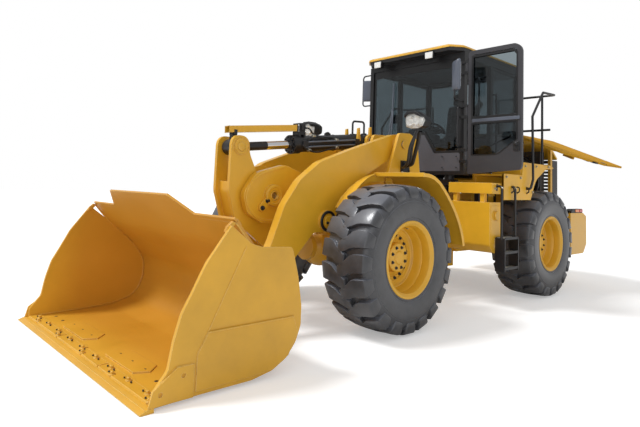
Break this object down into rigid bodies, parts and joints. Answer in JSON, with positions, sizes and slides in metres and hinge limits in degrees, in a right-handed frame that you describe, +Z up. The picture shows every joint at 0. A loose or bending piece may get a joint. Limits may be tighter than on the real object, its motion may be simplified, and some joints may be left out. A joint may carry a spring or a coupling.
{
  "type": "articulated wheel loader",
  "caption": "Articulated wheel loader with lift arms, bucket, linkage, cab with open door, open engine side doors and steering, lift and tilt cylinders.",
  "frame": {"origin": "on the ground under the middle of the machine's overall length, in its plane of symmetry; the articulation pin stands 0.375 m behind it", "axes": "+X forwards, +Y to the left, +Z up"},
  "size_m": [8.33, 3.541, 3.5],
  "materials": {
    "paint_yellow": "gloss paint",
    "paint_black": "satin paint",
    "paint_grey": "satin paint",
    "paint_red": "gloss paint",
    "tyre_rubber": "worn rubber",
    "tinted_glass": "tinted",
    "chrome": "polished",
    "steel": "machined",
    "cast_engine": "painted casting",
    "seat_fabric": "woven",
    "lamp": "clear lens"
  },
  "bodies": {
    "rear_frame": {"cab_base": "paint_yellow", "cab_glass": "tinted_glass", "cab_panels": "paint_grey", "cab_roof": "paint_yellow", "cab_shell": "paint_black", "console": "paint_black", "cooling_pack": "paint_black", "counterweight": "paint_yellow", "engine": "cast_engine", "exhaust": "steel", "handrails": "paint_black", "hitch_pins": "steel", "hood": "paint_yellow", "ladders": "paint_black", "mirrors": "paint_black", "platforms": "paint_yellow", "rear_axle": "paint_yellow", "rear_frame": "paint_yellow", "rear_grille": "paint_black", "seat": "seat_fabric", "side_boxes": "paint_yellow", "steering_column": "paint_black", "transmission": "cast_engine", "work_lamps": "lamp"},
    "front_frame": {"front_frame": "paint_yellow", "front_axle": "paint_yellow", "front_frame_pins": "steel", "front_fenders": "paint_yellow", "headlamp_brackets": "paint_black", "headlamps": "lamp", "lock_bar": "paint_red"},
    "boom": {"boom": "paint_yellow", "boom_pins": "steel"},
    "bellcrank": {"bellcrank": "paint_yellow", "bellcrank_pin": "steel"},
    "bucket_link": {"bucket_link": "paint_yellow"},
    "bucket": {"bucket": "paint_yellow", "bucket_pins": "steel", "cutting_edge": "paint_yellow"},
    "tilt_barrel": {"tilt_cylinder_barrel": "paint_black"},
    "tilt_rod": {"tilt_cylinder_rod": "chrome"},
    "cab_door": {"cab_door": "paint_black", "cab_door_glass": "tinted_glass"},
    "lift_barrels": {"lift_cylinder_barrels": "paint_black"},
    "lift_rods": {"lift_cylinder_rods": "chrome"},
    "steering_barrel_left": {"steering_cylinder_barrel_left": "paint_black"},
    "steering_rod_left": {"steering_cylinder_rod_left": "chrome"},
    "engine_door_left": {"engine_door_left": "paint_yellow"},
    "wheel_front_left": {"tyre_front_left": "tyre_rubber", "rim_front_left": "paint_yellow"},
    "wheel_rear_left": {"tyre_rear_left": "tyre_rubber", "rim_rear_left": "paint_yellow"},
    "steering_barrel_right": {"steering_cylinder_barrel_right": "paint_black"},
    "steering_rod_right": {"steering_cylinder_rod_right": "chrome"},
    "engine_door_right": {"engine_door_right": "paint_yellow"},
    "wheel_front_right": {"tyre_front_right": "tyre_rubber", "rim_front_right": "paint_yellow"},
    "wheel_rear_right": {"tyre_rear_right": "tyre_rubber", "rim_rear_right": "paint_yellow"}
  },
  "joints": [
    {"name": "steer", "type": "hinge", "parent": "rear_frame", "child": "front_frame", "pos_m": [-0.375, 0, 0.83], "axis": [0, 0, 1], "range_deg": [-35, 35]},
    {"name": "wheel_front_left_spin", "type": "hinge", "parent": "front_frame", "child": "wheel_front_left", "pos_m": [1.3, 1.095, 0.765], "axis": [0, 1, 0], "continuous": true},
    {"name": "wheel_front_right_spin", "type": "hinge", "parent": "front_frame", "child": "wheel_front_right", "pos_m": [1.3, -1.095, 0.765], "axis": [0, 1, 0], "continuous": true},
    {"name": "wheel_rear_left_spin", "type": "hinge", "parent": "rear_frame", "child": "wheel_rear_left", "pos_m": [-2.05, 1.095, 0.765], "axis": [0, 1, 0], "continuous": true},
    {"name": "wheel_rear_right_spin", "type": "hinge", "parent": "rear_frame", "child": "wheel_rear_right", "pos_m": [-2.05, -1.095, 0.765], "axis": [0, 1, 0], "continuous": true},
    {"name": "lift", "type": "hinge", "parent": "front_frame", "child": "boom", "pos_m": [0.525, 0, 2.03], "axis": [0, -1, 0], "range_deg": [0, 84]},
    {"name": "bucket_tilt", "type": "hinge", "parent": "boom", "child": "bucket", "pos_m": [2.685, 0, 0.36], "axis": [0, 1, 0], "range_deg": [-36, 126]},
    {"name": "bellcrank_turn", "type": "hinge", "parent": "boom", "child": "bellcrank", "pos_m": [2.24, 0, 1.365], "axis": [0, -1, 0], "range_deg": [-16, 55.6]},
    {"name": "bucket_link_turn", "type": "hinge", "parent": "bellcrank", "child": "bucket_link", "pos_m": [1.938, 0, 0.698], "axis": [0, -1, 0], "range_deg": [-78.3, 22.5]},
    {"name": "tilt_cylinder_turn", "type": "hinge", "parent": "front_frame", "child": "tilt_barrel", "pos_m": [0.575, 0, 2.095], "axis": [0, -1, 0], "range_deg": [-0.1, 86.7]},
    {"name": "tilt_cylinder_slide", "type": "slide", "parent": "tilt_barrel", "child": "tilt_rod", "axis": [0.9934, 0, -0.1147], "range_m": [-0.569, 0.164]},
    {"name": "lift_cylinders_turn", "type": "hinge", "parent": "front_frame", "child": "lift_barrels", "pos_m": [0.285, 0, 1.2], "axis": [0, -1, 0], "range_deg": [-0.1, 61.1]},
    {"name": "lift_cylinders_slide", "type": "slide", "parent": "lift_barrels", "child": "lift_rods", "axis": [0.9979, 0, -0.064], "range_m": [-0.001, 0.928]},
    {"name": "steering_cylinder_turn_left", "type": "hinge", "parent": "rear_frame", "child": "steering_barrel_left", "pos_m": [-0.995, 0.52, 0.85], "axis": [0, 0, 1], "range_deg": [-12.2, 12.2]},
    {"name": "steering_cylinder_slide_left", "type": "slide", "parent": "steering_barrel_left", "child": "steering_rod_left", "axis": [0.9884, -0.1521, 0], "range_m": [-0.255, 0.255]},
    {"name": "steering_cylinder_turn_right", "type": "hinge", "parent": "rear_frame", "child": "steering_barrel_right", "pos_m": [-0.995, -0.52, 0.85], "axis": [0, 0, 1], "range_deg": [-12.2, 12.2]},
    {"name": "steering_cylinder_slide_right", "type": "slide", "parent": "steering_barrel_right", "child": "steering_rod_right", "axis": [0.9884, 0.1521, 0], "range_m": [-0.255, 0.255]},
    {"name": "cab_door_swing", "type": "hinge", "parent": "rear_frame", "child": "cab_door", "pos_m": [-0.483, 0.9, 2.5], "axis": [0, 0, 1], "range_deg": [0, 90]},
    {"name": "engine_door_swing_left", "type": "hinge", "parent": "rear_frame", "child": "engine_door_left", "pos_m": [-3, 0.62, 2.44], "axis": [-1, 0, 0], "range_deg": [0, 67.4]},
    {"name": "engine_door_swing_right", "type": "hinge", "parent": "rear_frame", "child": "engine_door_right", "pos_m": [-3, -0.62, 2.44], "axis": [1, 0, 0], "range_deg": [0, 67.4]}
  ],
  "couplings": [
    {"joint": "bellcrank_turn", "follows": "bucket_tilt", "ratio": 0.44026},
    {"joint": "bucket_link_turn", "follows": "bucket_tilt", "ratio": -0.62},
    {"joint": "tilt_cylinder_turn", "follows": "lift", "ratio": 1.0308},
    {"joint": "tilt_cylinder_slide", "follows": "bucket_tilt", "m_per_rad": -0.2581},
    {"joint": "lift_cylinders_turn", "follows": "lift", "ratio": 0.72528},
    {"joint": "lift_cylinders_slide", "follows": "lift", "m_per_rad": 0.63167},
    {"joint": "steering_cylinder_turn_left", "follows": "steer", "ratio": 0.34504},
    {"joint": "steering_cylinder_slide_left", "follows": "steer", "m_per_rad": -0.41524},
    {"joint": "steering_cylinder_turn_right", "follows": "steer", "ratio": 0.34504},
    {"joint": "steering_cylinder_slide_right", "follows": "steer", "m_per_rad": 0.41524}
  ]
}
